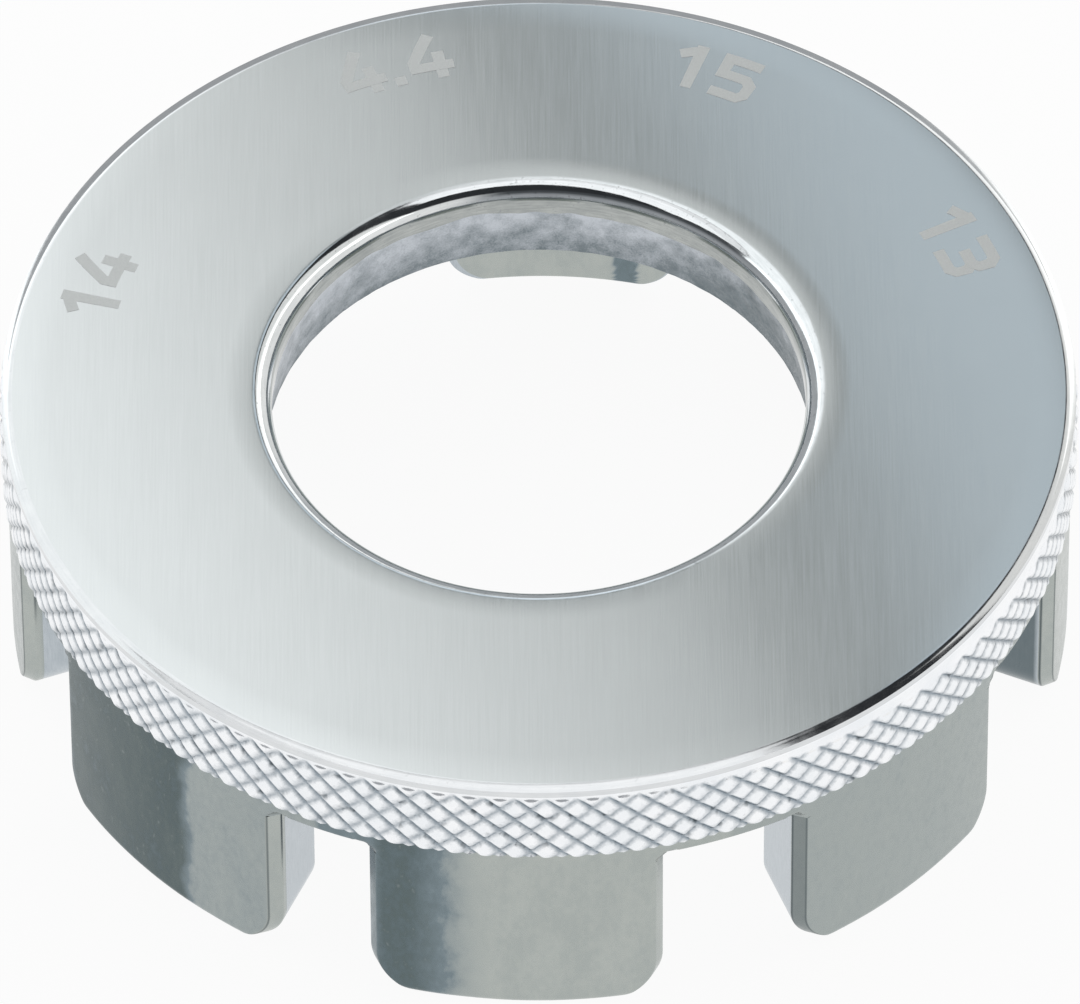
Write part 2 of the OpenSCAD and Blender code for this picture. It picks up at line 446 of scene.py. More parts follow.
bevelShadeColour = (0.06, 0.08, 0.09)         # painted shade along the bevels of the jaws
# The plated skin's own tones, with the tones of a painted dark reflection and a painted glint in it
skinFinish = {
    "light": ((0.395, 0.428, 0.412), (0.445, 0.475, 0.452)),
    "paintedDark": ((0.064, 0.095, 0.103), (0.108, 0.14, 0.14)),
    "paintedGlint": (0.24, 0.28, 0.29),
    "reflectionFringe": (0.2, 0.25, 0.275),       # where the painted dark reflection fades out
    "mottle": {"size": 0.25 * mm, "detail": 4.0, "roughness": 0.6, "stretch": (1, 1, 1.6)},
    "patches": {"size": 1.1 * mm, "detail": 4.0, "roughness": 0.6, "stretch": (1, 1, 2.5)},
    "scratches": {"size": 0.08 * mm, "detail": 2.0, "roughness": 0.5, "stretch": (9, 9, 1)},
    "lightRange": (0.8, 1.2),           # sums of mottle and patches between which each tone changes
    "paintedDarkRange": (0.75, 1.25),
    "paintedGlintRange": (0.63, 0.72),
    "paintedGlintShare": 0.5,
    "unevenRange": (0.7, 1.3),
    "uneven": 0.2,                      # how much the mottle moves the edge of the painted dark reflection
    "reflectionFringeRange": (0.0, 0.35),
    "coverRange": (0.3, 0.95),
    "roughness": (0.2, 0.34),
    "scratchBump": (0.0012 * mm, 0.6),
    "bump": (0.006 * mm, 0.6),
}


def platedSkinMetal(s):
    # Plate over the forged skin: a fine mottle and faint scratches, with a painted dark reflection
    # where its attribute says. edgeLine is painted shade along the ends of the bevels.
    material, tree, place = startMetal("platedSkin")
    paintedDark = shadeOf(tree, "paintedDark")
    mottle = noise(tree, place, **s["mottle"])
    mixed = add(tree, mottle, noise(tree, place, **s["patches"]))
    light = blend(tree, remap(tree, mixed, *s["lightRange"]), *s["light"])
    # The dark tone is a painted reflection, with a grey fringe where it fades out
    dark = blend(tree, remap(tree, mixed, *s["paintedDarkRange"]), *s["paintedDark"])
    # Lighter specks in the dark tone are a painted glint
    dark = blend(tree, remap(tree, mottle, *s["paintedGlintRange"], 0.0, s["paintedGlintShare"]), dark, s["paintedGlint"])
    uneven = add(tree, paintedDark, remap(tree, mixed, *s["unevenRange"], -s["uneven"], s["uneven"]))
    cover = multiply(tree, uneven, paintedDark)
    reflectionFringe = blend(tree, remap(tree, cover, *s["reflectionFringeRange"]), light, s["reflectionFringe"])
    skin = blend(tree, remap(tree, cover, *s["coverRange"]), reflectionFringe, dark)
    # Painted shade along the edges of the bevels
    colour = blend(tree, shadeOf(tree, "edgeLine"), skin, bevelShadeColour)
    roughness = remap(tree, mottle, *noiseSpan, *s["roughness"])
    scratched = bump(tree, noise(tree, place, **s["scratches"]), *s["scratchBump"])
    feedMetal(tree, colour, roughness, bump(tree, mottle, *s["bump"], scratched))
    return material


wallFinish = {
    "tones": ((0.43, 0.475, 0.51), (0.51, 0.555, 0.59)),
    # the colour of the painted shadow on some flanks
    "paintedDark": (0.065, 0.095, 0.105),
    "strokes": {"size": 0.06 * mm, "detail": 2.0, "roughness": 0.6, "stretch": (1, 1, 12)},
    "cloud": {"size": 0.7 * mm},
    "toneRange": (0.75, 1.25),
    "roughness": (0.18, 0.28),
    "bump": (0.0015 * mm, 0.6),
}


def slotWallMetal(s):
    # The cut walls of the slots: smoother and bluer than the skin, with marks of the cut upwards
    material, tree, place = startMetal("slotWall")
    strokes = noise(tree, place, **s["strokes"])
    cloud = noise(tree, place, **s["cloud"])
    tone = blend(tree, remap(tree, add(tree, strokes, cloud), *s["toneRange"]), *s["tones"])
    # A painted shadow on the first flank of some jaws, where the attribute says
    tone = blend(tree, shadeOf(tree, "paintedFlankShadow"), tone, s["paintedDark"])
    # Painted shade along the edges of the bevels
    colour = blend(tree, shadeOf(tree, "edgeLine"), tone, bevelShadeColour)
    roughness = remap(tree, cloud, *noiseSpan, *s["roughness"])
    feedMetal(tree, colour, roughness, bump(tree, strokes, *s["bump"]))
    return material


etchFinish = {
    "tones": ((0.56, 0.575, 0.57), (0.66, 0.675, 0.67)),
    "frost": {"size": 0.05 * mm, "roughness": 0.7},
    "roughness": 0.5,
    "bump": (0.004 * mm, 0.6),
}


def etchedMetal(s):
    # Frosted where the mark was etched
    material, tree, place = startMetal("etchedMark")
    frost = noise(tree, place, **s["frost"])
    colour = blend(tree, remap(tree, frost, *noiseSpan), *s["tones"])
    feedMetal(tree, colour, s["roughness"], bump(tree, frost, *s["bump"]))
    return material


satinFace = satinFaceMetal(brushSettings)
burnishedSteel, landSteel, plainEdgeSteel = (
    turnedMetal(name, own, turnedSettings) for name, own in turnedFinishes.items())
tornSteel = tornMetal(tornFinish)
brightKnurl = knurlMetal(knurlFinish)
platedSkin = platedSkinMetal(skinFinish)
slotWall = slotWallMetal(wallFinish)
etchedMark = etchedMetal(etchFinish)
print("materials made")

# Face plate

plateSettings = {
    "columnsInSlot": 24,
    "columnsInJaw": 48,
    "rows": {                           # points in each stretch of the profile
        "nearBore": 16, "nearEdge": 21, "edge": 14, "edgeWall": 4, "seat": 3, "rim": 9, "rimRound": 3,
        "roof": 6, "roofRound": 4, "cove": 8, "underside": 12, "torn": 40, "land": 5, "dullRound": 8,
        "brightRound": 14,
    },
    "boreRound": 0.65 * mm,
    "landBottom": 1.1 * mm,             # depth below the face at which the tear begins
    "landDegrees": 22,                  # how much of that round, beside the land, is as dull as it
    "boreEndDegrees": 97,               # where the round meets the face, just short of level
    "tearFlare": 0.22 * mm,
    "edgeReach": 0.38 * mm,             # the face's outer edge is a quarter of an ellipse, this wide
    "edgeDrop": 0.2 * mm,
    "edgeDegrees": (86, 52),            # from nearly level to a crease above the plain upright edge
    "creaseShare": 0.8,                 # where the upright edge begins, as a share of that crease's rise
    "rollOff": 0.012 * mm,              # how far polishing has lowered the face at its outer edge
    "rollOffWidth": 1.2 * mm,
    "boreRollOff": 0.016 * mm,          # and at the bore
    "boreRollWidth": 0.9 * mm,
    "cove": 0.55 * mm,
    "cornerRound": 0.06 * mm,
    "tearDepth": 0.022 * mm,
    "tearGrains": ((0.16 * mm, 1.0), (0.4 * mm, 0.6)),      # widths of its grains, and their shares
    "tearOut": 0.6,                     # how far the tear lies outside its cone, in tear depths
    "tearFade": (0.12, 0.04),           # shares of its height over which it begins and ends
    "landWave": 0.1 * mm,               # how far the tear's upper edge wanders
    "waveGrains": ((1.8 * mm, 1.0), (0.6 * mm, 0.5)),
    "waveReach": 0.25,                  # share of the tear's height that wanders with it
    "bevelReach": 1.3,                  # height to which the jaws' bevels rise, in slot fillets
    "seed": 5,
    "sharpAngle": 35,
}


def plateColumns(radius, s):
    # Each slot has columns at fixed distances from its centre line, so that they run parallel, and
    # each jaw has columns spread evenly over the angle that is left between two slots.
    # Gives the angle of each column at each radius, how high the slot's roof is on it, and 1 where
    # the column lies well inside a slot.
    fillet = wrench["slotFillet"]
    bend = np.sin(np.linspace(0, math.pi / 2, s["columnsInSlot"] // 4 + 1))
    angles = []
    roofs = []
    inSlot = []
    for i, half in enumerate(wrench["halfWidths"]):
        halfNext = wrench["halfWidths"][(i + 1) % slotCount]
        flat = np.linspace(-(half - fillet), half - fillet, s["columnsInSlot"] // 2 + 1)
        curved = half - fillet + fillet * bend
        offset = np.concatenate([-curved[:0:-1], flat, curved[1:]])
        intoFillet = np.maximum(np.abs(offset) - (half - fillet), 0)
        drop = fillet - np.sqrt(np.maximum(fillet ** 2 - intoFillet ** 2, 0))
        angles.append(i * slotTurn + np.arcsin(offset[None] / radius[:, None]))
        roofs.append(wrench["slotRoof"] - drop)
        inSlot.append((intoFillet < 0.5 * fillet).astype(float))
        start = i * slotTurn + np.arcsin(half / radius)
        end = (i + 1) * slotTurn - np.arcsin(halfNext / radius)
        share = np.linspace(0, 1, s["columnsInJaw"] + 1)[None, 1:-1]
        angles.append(start[:, None] * (1 - share) + end[:, None] * share)
        roofs.append(np.full(s["columnsInJaw"] - 1, wrench["jawTop"]))
        inSlot.append(np.zeros(s["columnsInJaw"] - 1))
    return np.concatenate(angles, 1), np.concatenate(roofs), np.concatenate(inSlot)


def plateProfile(s):
    # The half section as stretches of points, each with the finish that it takes. The last value of a
    # stretch says how far it follows the slots' roofs at its first and last point, from 0 to 1.
    top = wrench["faceHeight"]
    under = wrench["underside"]
    bore = wrench["boreRadius"]
    edge = wrench["plainEdgeRadius"]
    seat = wrench["seatRadius"]
    band = wrench["bandTop"]
    jawTop = wrench["jawTop"]
    innerR = wrench["jawInRadius"]
    outerR = wrench["jawOutRadius"]
    e = s["cornerRound"]
    tearTop = top - s["landBottom"]
    down = s["rollOff"]
    boreDown = s["boreRollOff"]
    rows = s["rows"]
    faceStart = bore + s["boreRound"]
    faceEnd = edge - s["edgeReach"]
    nearBore = faceStart + np.linspace(0, s["boreRollWidth"], rows["nearBore"])
    nearEdge = faceEnd - np.linspace(s["rollOffWidth"], 0, rows["nearEdge"])
    across = np.append(nearBore, nearEdge)
    face = np.stack([across, np.full(len(across), top)], 1)
    toEdge = face[-1, 0] - face[:, 0]
    toBore = face[:, 0] - face[0, 0]
    face[:, 1] -= np.maximum(1 - toEdge / s["rollOffWidth"], 0) ** 2 * down
    face[:, 1] -= np.maximum(1 - toBore / s["boreRollWidth"], 0) ** 2 * boreDown
    edgeCentre = (edge - s["edgeReach"], top - down - s["edgeDrop"])
    creaseTurn = math.radians(s["edgeDegrees"][1])
    crease = edgeCentre[1] + s["creaseShare"] * s["edgeDrop"] * math.sin(creaseTurn)
    edgeRound = (*edgeCentre, s["edgeReach"], s["edgeDrop"])
    boreRound = (bore + s["boreRound"], top - boreDown - s["boreRound"], s["boreRound"], s["boreRound"])
    coveRound = (innerR - s["cove"], under - s["cove"], s["cove"], s["cove"])
    landTurn = 180 - s["landDegrees"]
    underStart = innerR - 1.5 * s["cove"]
    tearFoot = bore + s["tearFlare"]
    return [
        ("satin", face, (0, 0)),
        ("edge", arcPoints(*edgeRound, *s["edgeDegrees"], rows["edge"]), (0, 0)),
        ("edge", linePoints((edge, crease), (edge, band), rows["edgeWall"]), (0, 0)),
        ("skin", linePoints((seat, band), (seat, under), rows["seat"]), (0, 0)),
        ("skin", linePoints((outerR, under), (outerR, jawTop + e), rows["rim"]), (0, 1)),
        ("skin", arcPoints(outerR - e, jawTop + e, e, e, -30, -90, rows["rimRound"]), (1, 1)),
        ("wall", linePoints((outerR - 2 * e, jawTop), (innerR + 2 * e, jawTop), rows["roof"]), (1, 1)),
        ("wall", arcPoints(innerR + e, jawTop + e, e, e, 270, 180, rows["roofRound"]), (1, 1)),
        ("skin", arcPoints(*coveRound, 0, 90, rows["cove"]), (0, 0)),
        ("skin", linePoints((underStart, under), (tearFoot + 3 * e, under), rows["underside"]), (0, 0)),
        ("torn", linePoints((tearFoot, under + 0.5 * e), (bore, tearTop), rows["torn"]), (0, 0)),
        ("land", linePoints((bore, tearTop + 0.5 * e), (bore, boreRound[1]), rows["land"])[:-1], (0, 0)),
        ("land", arcPoints(*boreRound, 180, landTurn, rows["dullRound"])[:-1], (0, 0)),
        ("burnished", arcPoints(*boreRound, landTurn, s["boreEndDegrees"], rows["brightRound"]), (0, 0)),
    ]


def makePlate(s):
    # The profile is carried round the bore. Rows that follow the roofs rise in the slots.
    stretches = plateProfile(s)
    profile = np.concatenate([points for _, points, _ in stretches])
    follow = np.concatenate([np.linspace(*ends, len(points)) for _, points, ends in stretches])
    finish = np.concatenate([[kind] * len(points) for kind, points, _ in stretches])
    radius = profile[:, 0]
    height = profile[:, 1]
    angle, roof, inSlot = plateColumns(radius, s)
    z = height[:, None] + follow[:, None] * (roof - wrench["jawTop"])[None]
    r = np.repeat(radius[:, None], len(roof), 1)
    # Small rounds beside a roof only show in the slots, so they are squared off where a jaw meets them
    tight = (follow == 1)[:, None] * (1 - inSlot)[None]
    outR = wrench["jawOutRadius"]
    inR = wrench["jawInRadius"]
    near = 1.5 * s["cornerRound"]
    r = r + tight * np.where(r > outR - near, outR - r, np.where(r < inR + near, inR - r, 0))
    # The bevels on the jaws' upright edges run on into the rim and die away along the slots' corners
    slot = np.rint(angle / slotTurn).astype(int)
    beside = np.abs(r * np.sin(angle - slot * slotTurn)) - wrench["halfWidths"][slot % slotCount]
    low = 1 - smoothStep((z - wrench["jawTop"]) / (s["bevelReach"] * wrench["slotFillet"]))
    bevel = np.maximum(wrench["jawBevel"] * low - np.maximum(beside, 0), 0)
    bevel = bevel * (beside > -wrench["slotFillet"])
    r = r - bevel * np.clip((r - inR) / (outR - inR), 0, 1)
    # The torn wall is rough at two grains, and its upper edge wanders up and down
    torn = finish == "torn"
    tearTop = height[torn].max()
    depth = (tearTop - z) / (tearTop - wrench["underside"])
    wave = ringNoises(angle, 0 * z, wrench["boreRadius"], s["waveGrains"], s["seed"])
    belowRound = height < wrench["faceHeight"] - s["boreRound"]
    inBore = belowRound & (radius < wrench["boreRadius"] + 1.5 * s["tearFlare"])
    z = z + np.where(inBore[:, None], s["landWave"] * wave * np.exp(-(depth / s["waveReach"]) ** 2), 0)
    rough = ringNoises(angle, z, wrench["boreRadius"], s["tearGrains"], s["seed"] + 2)
    fadeIn, fadeOut = s["tearFade"]
    fade = np.clip(depth / fadeIn, 0, 1) * np.clip((1 - depth) / fadeOut, 0, 1)
    r = r + np.where(torn[:, None], s["tearDepth"] * (s["tearOut"] + rough) * fade, 0)
    faces = gridFaces(*r.shape, True, True)[:, ::-1]
    metals = {"satin": satinFace, "edge": plainEdgeSteel, "burnished": burnishedSteel, "land": landSteel,
              "torn": tornSteel, "skin": platedSkin, "wall": slotWall}
    slotOfRow = np.array([list(metals).index(kind) for kind in finish])
    # The rim above each jaw carries the same painted dark reflection
    shades = {"paintedDark": paintedReflectionShare(angle, z, paintedReflectionSettings), "edgeLine": 0 * z}
    makePiece("face_plate_turned", ringPoints(r, angle, z), faces.tolist(), metals.values(),
              np.repeat(slotOfRow, r.shape[1]), s["sharpAngle"], ["face_plate"], shades)


makePlate(plateSettings)

# Plain numbers etched on the face, each as strokes: the rows of a stroke are its points, in heights
# of a number from its lower left corner

numberStrokes = {
    "1": [[(0.1, 0.72), (0.36, 0.86)], [(0.42, 0.0), (0.42, 1.0)]],
    "3": [[(0.08, 0.9), (0.58, 0.9), (0.68, 0.8), (0.68, 0.6), (0.58, 0.5), (0.25, 0.5)],
          [(0.55, 0.53), (0.68, 0.4), (0.68, 0.2), (0.58, 0.1), (0.08, 0.1)]],
    "4": [[(0.5, 1.0), (0.12, 0.42), (0.12, 0.28), (0.8, 0.28)], [(0.57, 0.0), (0.57, 0.6)]],
    "5": [[(0.7, 0.9), (0.13, 0.9), (0.13, 0.54), (0.57, 0.54), (0.68, 0.44), (0.68, 0.2), (0.58, 0.1),
           (0.06, 0.1)]],
    ".": [[(0.1, 0.0), (0.1, 0.2)]],
}
markSettings = {
    "radius": 15.5 * mm,
    "height": 2.0 * mm,
    "weight": 0.2,                      # width of a stroke, in heights of a number
    "advance": {"1": 0.78, "3": 0.88, "4": 0.92, "5": 0.88, ".": 0.3},
    "sink": 0.02 * mm,                  # how far a mark reaches into the face
    "strokeStep": 0.003 * mm,           # how much lower the second stroke of a number lies
    "stepsInStroke": 4,
    "marks": {"13": 3.5, "15": 46, "4.4": 87, "14": 141},       # degrees round the face, from +X
    "sharpAngle": 30,
}


def makeMark(text, degrees, s):
    # A flat strip of the stroke's width is carried along each stroke, mitred at its corners, and
    # thickened. Then x runs clockwise round the face and y outwards.
    points = []
    faces = []
    length = sum(s["advance"][c] for c in text)
    cursor = -length / 2
    for character in text:
        for order, stroke in enumerate(numberStrokes[character]):
            path = np.array(stroke)
            share = np.linspace(0, 1, s["stepsInStroke"] + 1)[:-1]
            way = np.diff(path, axis=0)
            way = way / np.linalg.norm(way, axis=1)[:, None]
            sideways = np.stack([-way[:, 1], way[:, 0]], 1)
            joint = np.concatenate([sideways[:1], sideways[:-1] + sideways[1:], sideways[-1:]])
            joint = joint / np.linalg.norm(joint, axis=1)[:, None]
            lean = np.concatenate([sideways[:1], sideways])
            joint = joint * (s["weight"] / 2 / np.sum(joint * lean, axis=1))[:, None]
            left = path + joint
            right = path - joint
            edges = []
            for edge in (left, right):
                steps = edge[:-1, None] + (edge[1:, None] - edge[:-1, None]) * share[None, :, None]
                edges.append(np.concatenate([steps.reshape(-1, 2), edge[-1:]]))
            rows = len(edges[0])
            x, y = np.stack([edges[0], edges[1], edges[1], edges[0]], 1).transpose(2, 0, 1)
            low = wrench["faceHeight"] - s["sink"]
            high = wrench["faceHeight"] + wrench["markHeight"] - order * s["strokeStep"]
            z = np.tile(np.array([low, low, high, high]), (rows, 1))
            radius = s["radius"] + (y - 0.5) * s["height"]
            angle = math.radians(degrees) - (x + cursor) * s["height"] / s["radius"]
            base = sum(len(block) for block in points)
            points.append(ringPoints(radius, angle, z))
            strip = gridFaces(rows, 4, False, True)[:, ::-1] + base
            last = base + 4 * (rows - 1)
            caps = [[base, base + 1, base + 2, base + 3], [last + 3, last + 2, last + 1, last]]
            faces += strip.tolist() + caps
        cursor += s["advance"][character]
    name = "mark_" + text.replace(".", "_") + "_etched"
    makePiece(name, np.concatenate(points), faces, [etchedMark], None, s["sharpAngle"], None)


for markText, markDegrees in markSettings["marks"].items():
    makeMark(markText, markDegrees, markSettings)

# Knurled band

knurlSettings = {
    "diamonds": 111,
    "pitchHigh": 1.03 * mm,             # height of a diamond
    "cutOff": 0.3,                      # how far above a row of islands the band ends, in diamonds
    "columnsInDiamond": 10,
    "deepGroove": 0.085 * mm,           # the grooves that one wheel rolled
    "shallowGroove": 0.06 * mm,         # and those that the other one rolled
    "grooveShare": 0.5,                 # width of a groove, as a share of the distance between two
    "shadedSide": 0.55,                   # painted shade on one side of each island
    "plainSide": math.radians(-51),     # the direction where the knurl starts lowest, from +X
    "plainWidth": math.radians(60),
    "plainDepth": 0.58 * mm,
    "lightGrooveSide": math.radians(-110.8),  # the direction where the grooves' painted shade is lightest
    "lightGrooveWidth": (math.radians(42), math.radians(72)),     # where their darker painted shade begins, and where it's full
    "rise": 0.22 * mm,                  # height over which the band swells and the grooves deepen
    "crown": 0.03 * mm,                 # how much an island is domed
    "wallCurve": 1.3,                   # how steeply a groove's walls fall towards its middle
    "unevenDepth": 0.25,                # how much the rolled depth varies round the band
    "unevenGrain": 1.7 * mm,
    "grainDepth": 0.01 * mm,            # small unevenness of the plated surface
    "grain": 0.5 * mm,
    "grooveShadeGrain": 0.9 * mm,
    "grooveShadePatches": 0.25,                # how patchy that darker painted shade is
    "sharpAngle": 60,
    "seed": 11,
}


def makeKnurl(s):
    # Two families of grooves cross. across is how far a point lies from the middle of the nearest
    # groove of a family, 0 to 1. A groove's wall rises as a rounded V to the island, and the island
    # is domed a little towards its middle. Rows are half a column apart and shifted by half a column
    # each, so that the edges of the mesh run along both families.
    columns = s["diamonds"] * s["columnsInDiamond"]
    bottom = wrench["underside"]
    top = wrench["bandTop"]
    rows = round((top - bottom) / s["pitchHigh"] * s["columnsInDiamond"] * 2)
    row = np.arange(rows + 1)[:, None]
    a = (np.arange(columns)[None] + 0.5 * (row % 2)) / s["columnsInDiamond"]
    b = row / (2 * s["columnsInDiamond"]) + s["cutOff"] + 0 * a
    angle = a / s["diamonds"] * 2 * math.pi
    z = bottom + (top - bottom) * row / rows + 0 * a
    crest = wrench["crestRadius"] - wrench["skinInset"]
    uneven = 1 + s["unevenDepth"] * ringNoise(angle, z, crest, s["unevenGrain"], s["seed"])
    # Round one side the wheels did not reach up to the top of the band
    plain = s["plainDepth"] * smoothStep(1 - turnBetween(angle, s["plainSide"]) / s["plainWidth"])
    rolled = smoothStep((top - z - plain) / s["rise"])
    swell = (crest - wrench["plainEdgeRadius"]) * rolled
    fall = 0 * a
    valley = 0 * a
    dome = 0 * a + 1
    for phase, depth in ((a + b, s["deepGroove"]), (a - b, s["shallowGroove"])):
        across = 1 - np.abs(2 * (phase % 1) - 1)
        cut = np.clip(1 - across / s["grooveShare"], 0, 1)
        cut = cut ** s["wallCurve"] * rolled
        fall = np.maximum(fall, cut * depth * uneven)
        # valley is the painted shade in the grooves, deepest at their middles, and it also places the grit
        valley = np.maximum(valley, cut * depth / s["deepGroove"])
        # A painted shade on one side of each island, along the shallow grooves
        side = np.clip(2 * (phase % 1) - 1, 0, 1) * s["shadedSide"] * rolled
        valley = valley + (1 - valley) * side * (depth < s["deepGroove"])
        dome = dome * np.sqrt(np.clip(across, 0, 1))
    r = wrench["plainEdgeRadius"] + swell - fall - s["crown"] * (1 - dome) * rolled
    r = r - s["grainDepth"] * (0.5 + 0.5 * ringNoise(angle, z, crest, s["grain"], s["seed"] + 1))
    points = ringPoints(r, angle, z)
    # Each point makes a triangle with its neighbour in its row and a point of the next row, and one
    # with two points of the next row
    i = np.arange(rows)[:, None]
    j = np.arange(columns)[None]
    shift = i % 2
    here = i * columns + j
    beside = i * columns + (j + 1) % columns
    above = (i + 1) * columns + (j + shift) % columns
    upLeft = (i + 1) * columns + (j - 1 + shift) % columns
    pointed = np.stack([here, beside, above], 2)
    hanging = np.stack([here, above, upLeft], 2)
    walls = np.concatenate([pointed.reshape(-1, 3), hanging.reshape(-1, 3)]).tolist()
    # A seat ring inside closes the band below and above
    seatLow = len(points)
    seatHigh = seatLow + columns
    ring = np.arange(columns)
    ringNext = (ring + 1) % columns
    lastRow = rows * columns
    seatAngle = np.arange(columns) / columns * 2 * math.pi
    seatRadius = np.full(columns, wrench["seatRadius"])
    seat = [ringPoints(seatRadius, seatAngle, np.full(columns, height)) for height in (bottom, top)]
    floorFaces = np.stack([seatLow + ring, seatLow + ringNext, ringNext, ring], 1)
    roofFaces = np.stack([lastRow + ring, lastRow + ringNext, seatHigh + ringNext, seatHigh + ring], 1)
    backFaces = np.stack([seatLow + ringNext, seatLow + ring, seatHigh + ring, seatHigh + ringNext], 1)
    faces = walls + floorFaces.tolist() + roofFaces.tolist() + backFaces.tolist()
    # The grooves' painted shade is darker away from one side, in patches
    near, far = s["lightGrooveWidth"]
    patches = 1 - s["grooveShadePatches"] * (1 - ringNoise(angle, z, crest, s["grooveShadeGrain"], s["seed"] + 2))
    darkerGrooves = patches * smoothStep((turnBetween(angle, s["lightGrooveSide"]) - near) / (far - near))
    seatShade = np.zeros(2 * columns)
    shades = {"valley": np.append(valley, seatShade), "darkerGrooves": np.append(darkerGrooves, seatShade)}
    makePiece("knurled_band_rolled", np.concatenate([points] + seat), faces, [brightKnurl], None,
              s["sharpAngle"], ["knurled_band"], shades)


makeKnurl(knurlSettings)

# Jaws

jawSettings = {
    "corner": 1.7 * mm,                 # radius of the two lower corners
    "tipRound": 0.35 * mm,
    "edgeRound": 0.07 * mm,
    "cornerLevels": 26,
    "wallLevels": 16,
    "outerSteps": 60,
    "innerSteps": 40,
    "flankSteps": 14,
    "blendSteps": 4,
    "unevenness": 0.012 * mm,
    "unevenGrain": 1.6 * mm,
    "unevenFade": 1 * mm,               # below the top of a jaw, where its skin is even
    "outerReach": 0.01 * mm,            # how near a point is to the outer arc to be uneven
    "unshadedBevelJaws": [6],                   # those without painted shade along their bevels
    "shadedBevels": {7: 0.45},           # jaws with painted shade on the whole of their first bevel, and how much
    "shadowedFlanks": {8: 0.8},             # jaws whose first flank has a painted shadow, and how much
    "innerShadePatches": {2: (57.6, 1.9)},   # jaws with a patch of painted shade inside: its direction and half its width
    "patchStrength": 0.7,
    "patchSoftness": 0.25,
    "patchReach": 0.3 * mm,             # how near a point is to the inside of a jaw to take such a patch
    "bevelShadeEnd": (3.3 * mm, 1.1 * mm),    # depths at which the painted shade along a second flank ends and is full
    "bevelShade": (0.2, 0.9),                 # how dark the painted shade begins and gets where a bevel meets the outside
    "sharpAngle": 35,
    "seed": 23,
}


def quarterRise(height, radius):
    # How far a quarter round of that radius has still to go outwards at a height above its lowest point
    share = np.clip(1 - height / radius, 0, 1)
    return radius * (1 - np.sqrt(np.maximum(1 - share ** 2, 0)))


def softCorner(before, corner, after, steps):
    # A quadratic curve from one point to the next that leans towards the corner between them
    t = np.linspace(0, 1, steps + 1)[None, :, None]
    return (1 - t) ** 2 * before[:, None] + 2 * t * (1 - t) * corner[:, None] + t ** 2 * after[:, None]


def towards(start, end, distance):
    # The points that lie that far from each start, straight towards its end
    way = end - start
    return start + way * (distance / np.linalg.norm(way, axis=1))[:, None]


def between(start, end, steps):
    # Points spread evenly along each straight line from start to end, without its two ends
    t = np.linspace(0, 1, steps + 1)[None, 1:-1, None]
    return start[:, None] * (1 - t) + end[:, None] * t


def arcBetween(start, end, radius, steps, inset):
    # Points round the bore's axis from one corner to another, ending an inset short of both
    startAngle = np.arctan2(start[:, 1], start[:, 0])
    turn = np.arctan2(end[:, 1], end[:, 0]) - startAngle
    turn = (turn + math.pi) % (2 * math.pi) - math.pi
    way = np.sign(turn) * inset / radius
    t = np.linspace(0, 1, steps + 1)[None]
    angle = (startAngle + way)[:, None] * (1 - t) + (startAngle + turn - way)[:, None] * t
    return np.stack([radius[:, None] * np.cos(angle), radius[:, None] * np.sin(angle)], 2)


def jawSide(slot, sign, outR, inR, drawIn, bevel):
    # Corners beside one slot: on the outer arc, at the bevel's inner edge, and at the inner arc
    direction = slot * slotTurn
    along = np.array([math.cos(direction), math.sin(direction)])
    across = sign * np.array([-math.sin(direction), math.cos(direction)])
    half = wrench["halfWidths"][slot % slotCount] + drawIn
    wide = half + bevel
    outer = np.sqrt(outR ** 2 - wide ** 2)[:, None] * along + wide[:, None] * across
    middle = (np.sqrt(outR ** 2 - half ** 2) - bevel)[:, None] * along + half[:, None] * across
    inner = np.sqrt(inR ** 2 - half ** 2)[:, None] * along + half[:, None] * across
    return outer, middle, inner


